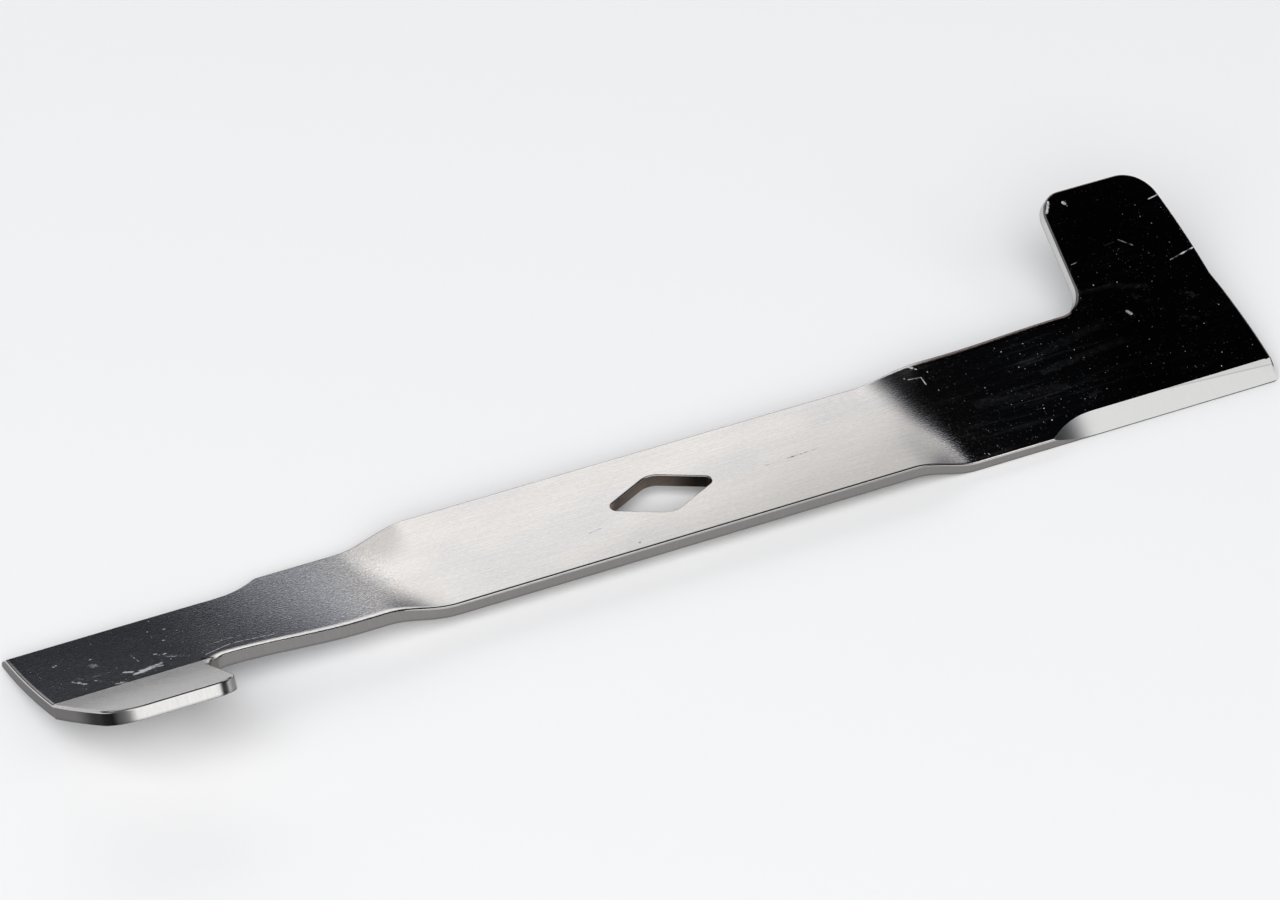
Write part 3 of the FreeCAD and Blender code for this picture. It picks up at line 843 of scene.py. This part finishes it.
# the studio: a long pale box behind, one in front, a dark ceiling between them, and one lamp by the camera
studio = {
    "room": 0.22, "dark": 0.004, "backWall": 0.012, "behind": (0.25, 0.42),
    # the box behind: its light by height, its top edge, and what it gains and loses from left to right
    "backGlow": 0.52, "glowHeight": (0.155, 0.22), "backLight": 0.9, "lightHeight": (0.22, 0.43),
    "backTop": (0.083, 0.761, -0.644), "backTopEdge": (-0.14, 0.11),
    "backLeft": 0.35, "backGains": ((-0.5, -0.15, 0.35), (-0.05, 0.22, 0.3)),
    "backLosses": ((0.2, 0.75, 0.36), (0.64, 0.75, 0.5)),
    "frontBox": {"centre": (0.31, -0.76, 0.52), "reach": (1.4, 0.45, 0.30), "light": 1.35,
                 "leftEdge": (-0.92, -0.66), "rightEdge": (0.46, 0.68)},
    "ceiling": {"centre": (0.42, 0.02, 0.90), "reach": (0.36, 0.56, 0.45)},
    "rightDark": {"centre": (0.86, -0.45, 0.25), "reach": (0.26, 0.45, 0.35)},
    "patchRim": (0.75, 1.25),
    "coolTint": (0.93, 0.97, 1.08, 1.0), "whiteTint": (1.0, 1.0, 1.0, 1.0), "tintRange": (0.05, 0.9),
    "lampPlace": (-2.6, -3.6, 4.4), "lampSize": 6.0, "lampPower": 400.0,
}


def makeStudio():
    world = bpy.data.worlds.new("studio")
    bpy.context.scene.world = world
    world.use_nodes = True
    tree = world.node_tree
    tree.nodes.clear()
    w = Wire(tree)
    direction = w.node("ShaderNodeTexCoord", out="Generated")
    x, y, z = direction.parts()

    # an oval in the sky with a soft rim
    def patch(spot):
        off = w.node("ShaderNodeVectorMath", {"operation": "SUBTRACT"}, {0: direction, 1: spot["centre"]})
        scaled = w.node("ShaderNodeVectorMath", {"operation": "DIVIDE"}, {0: off, 1: spot["reach"]})
        distance = w.node("ShaderNodeVectorMath", {"operation": "LENGTH"}, {0: scaled}, out="Value")
        return 1 - distance.ease(*studio["patchRim"])

    # the box behind glows faintly low down, is bright above, and ends in a straight soft edge at the top
    top = w.node("ShaderNodeVectorMath", {"operation": "DOT_PRODUCT"},
                 {0: direction, 1: studio["backTop"]}, out="Value")
    back = z.ease(*studio["glowHeight"]) * studio["backGlow"]
    back = back + z.ease(*studio["lightHeight"]) * studio["backLight"]
    back = back * top.ease(*studio["backTopEdge"])
    for low, high, loss in studio["backLosses"]:
        back = back * (1 - x.ease(low, high) * loss)
    gained = studio["backLeft"]
    for low, high, gain in studio["backGains"]:
        gained = gained + gain * x.ease(low, high)
    behind = y.ease(*studio["behind"])
    level = studio["room"] * (1 - behind) + (back * gained + studio["backWall"]) * behind
    for name in ("ceiling", "rightDark"):
        inside = patch(studio[name])
        level = level * (1 - inside) + inside * studio["dark"]
    front = studio["frontBox"]
    inside = patch(front) * x.ease(*front["leftEdge"]) * (1 - x.ease(*front["rightEdge"]))
    level = level * (1 - inside) + inside * front["light"]
    # dim parts look cooler
    tint = level.ease(*studio["tintRange"]).blend(studio["coolTint"], studio["whiteTint"])
    shader = w.node("ShaderNodeBackground", None, {"Color": level.scaling(tint), "Strength": 1.0})
    output = tree.nodes.new("ShaderNodeOutputWorld")
    tree.links.new(shader.socket, output.inputs["Surface"])
    data = bpy.data.lights.new("keyLamp", "AREA")
    data.shape = "SQUARE"
    data.size = studio["lampSize"]
    data.energy = studio["lampPower"]
    lamp = bpy.data.objects.new("keyLamp", data)
    lamp.visible_glossy = False  # the steel mirrors only the boxes
    lamp.location = studio["lampPlace"]
    lamp.rotation_euler = (-Vector(studio["lampPlace"])).to_track_quat("-Z", "Y").to_euler()
    bpy.context.scene.collection.objects.link(lamp)
    print("studio lit")


makeStudio()


# the camera, at the photograph's angle
camera = {
    "turn": 25.0136, "height": 38.6241, "distance": 1800.8, "right": -7.444, "up": 15.159,
    "lens": 144.46, "sensor": 36.0, "reach": 50.0,
}


def makeCamera():
    turn, height = math.radians(camera["turn"]), math.radians(camera["height"])
    right = Vector((math.cos(turn), -math.sin(turn), 0))
    level = math.cos(height)
    forward = Vector((math.sin(turn) * level, math.cos(turn) * level, -math.sin(height)))
    up = right.cross(forward)
    data = bpy.data.cameras.new("camera")
    data.lens = camera["lens"]
    data.sensor_width = camera["sensor"]
    data.clip_end = camera["reach"]
    view = bpy.data.objects.new("camera", data)
    place = (-camera["distance"] * forward + camera["right"] * right + camera["up"] * up) * mm
    view.matrix_world = Matrix.Translation(place) @ Matrix((right, up, -forward)).transposed().to_4x4()
    bpy.context.scene.collection.objects.link(view)
    bpy.context.scene.camera = view
    print("camera placed")


makeCamera()
bpy.context.scene.view_settings.view_transform = "Standard"
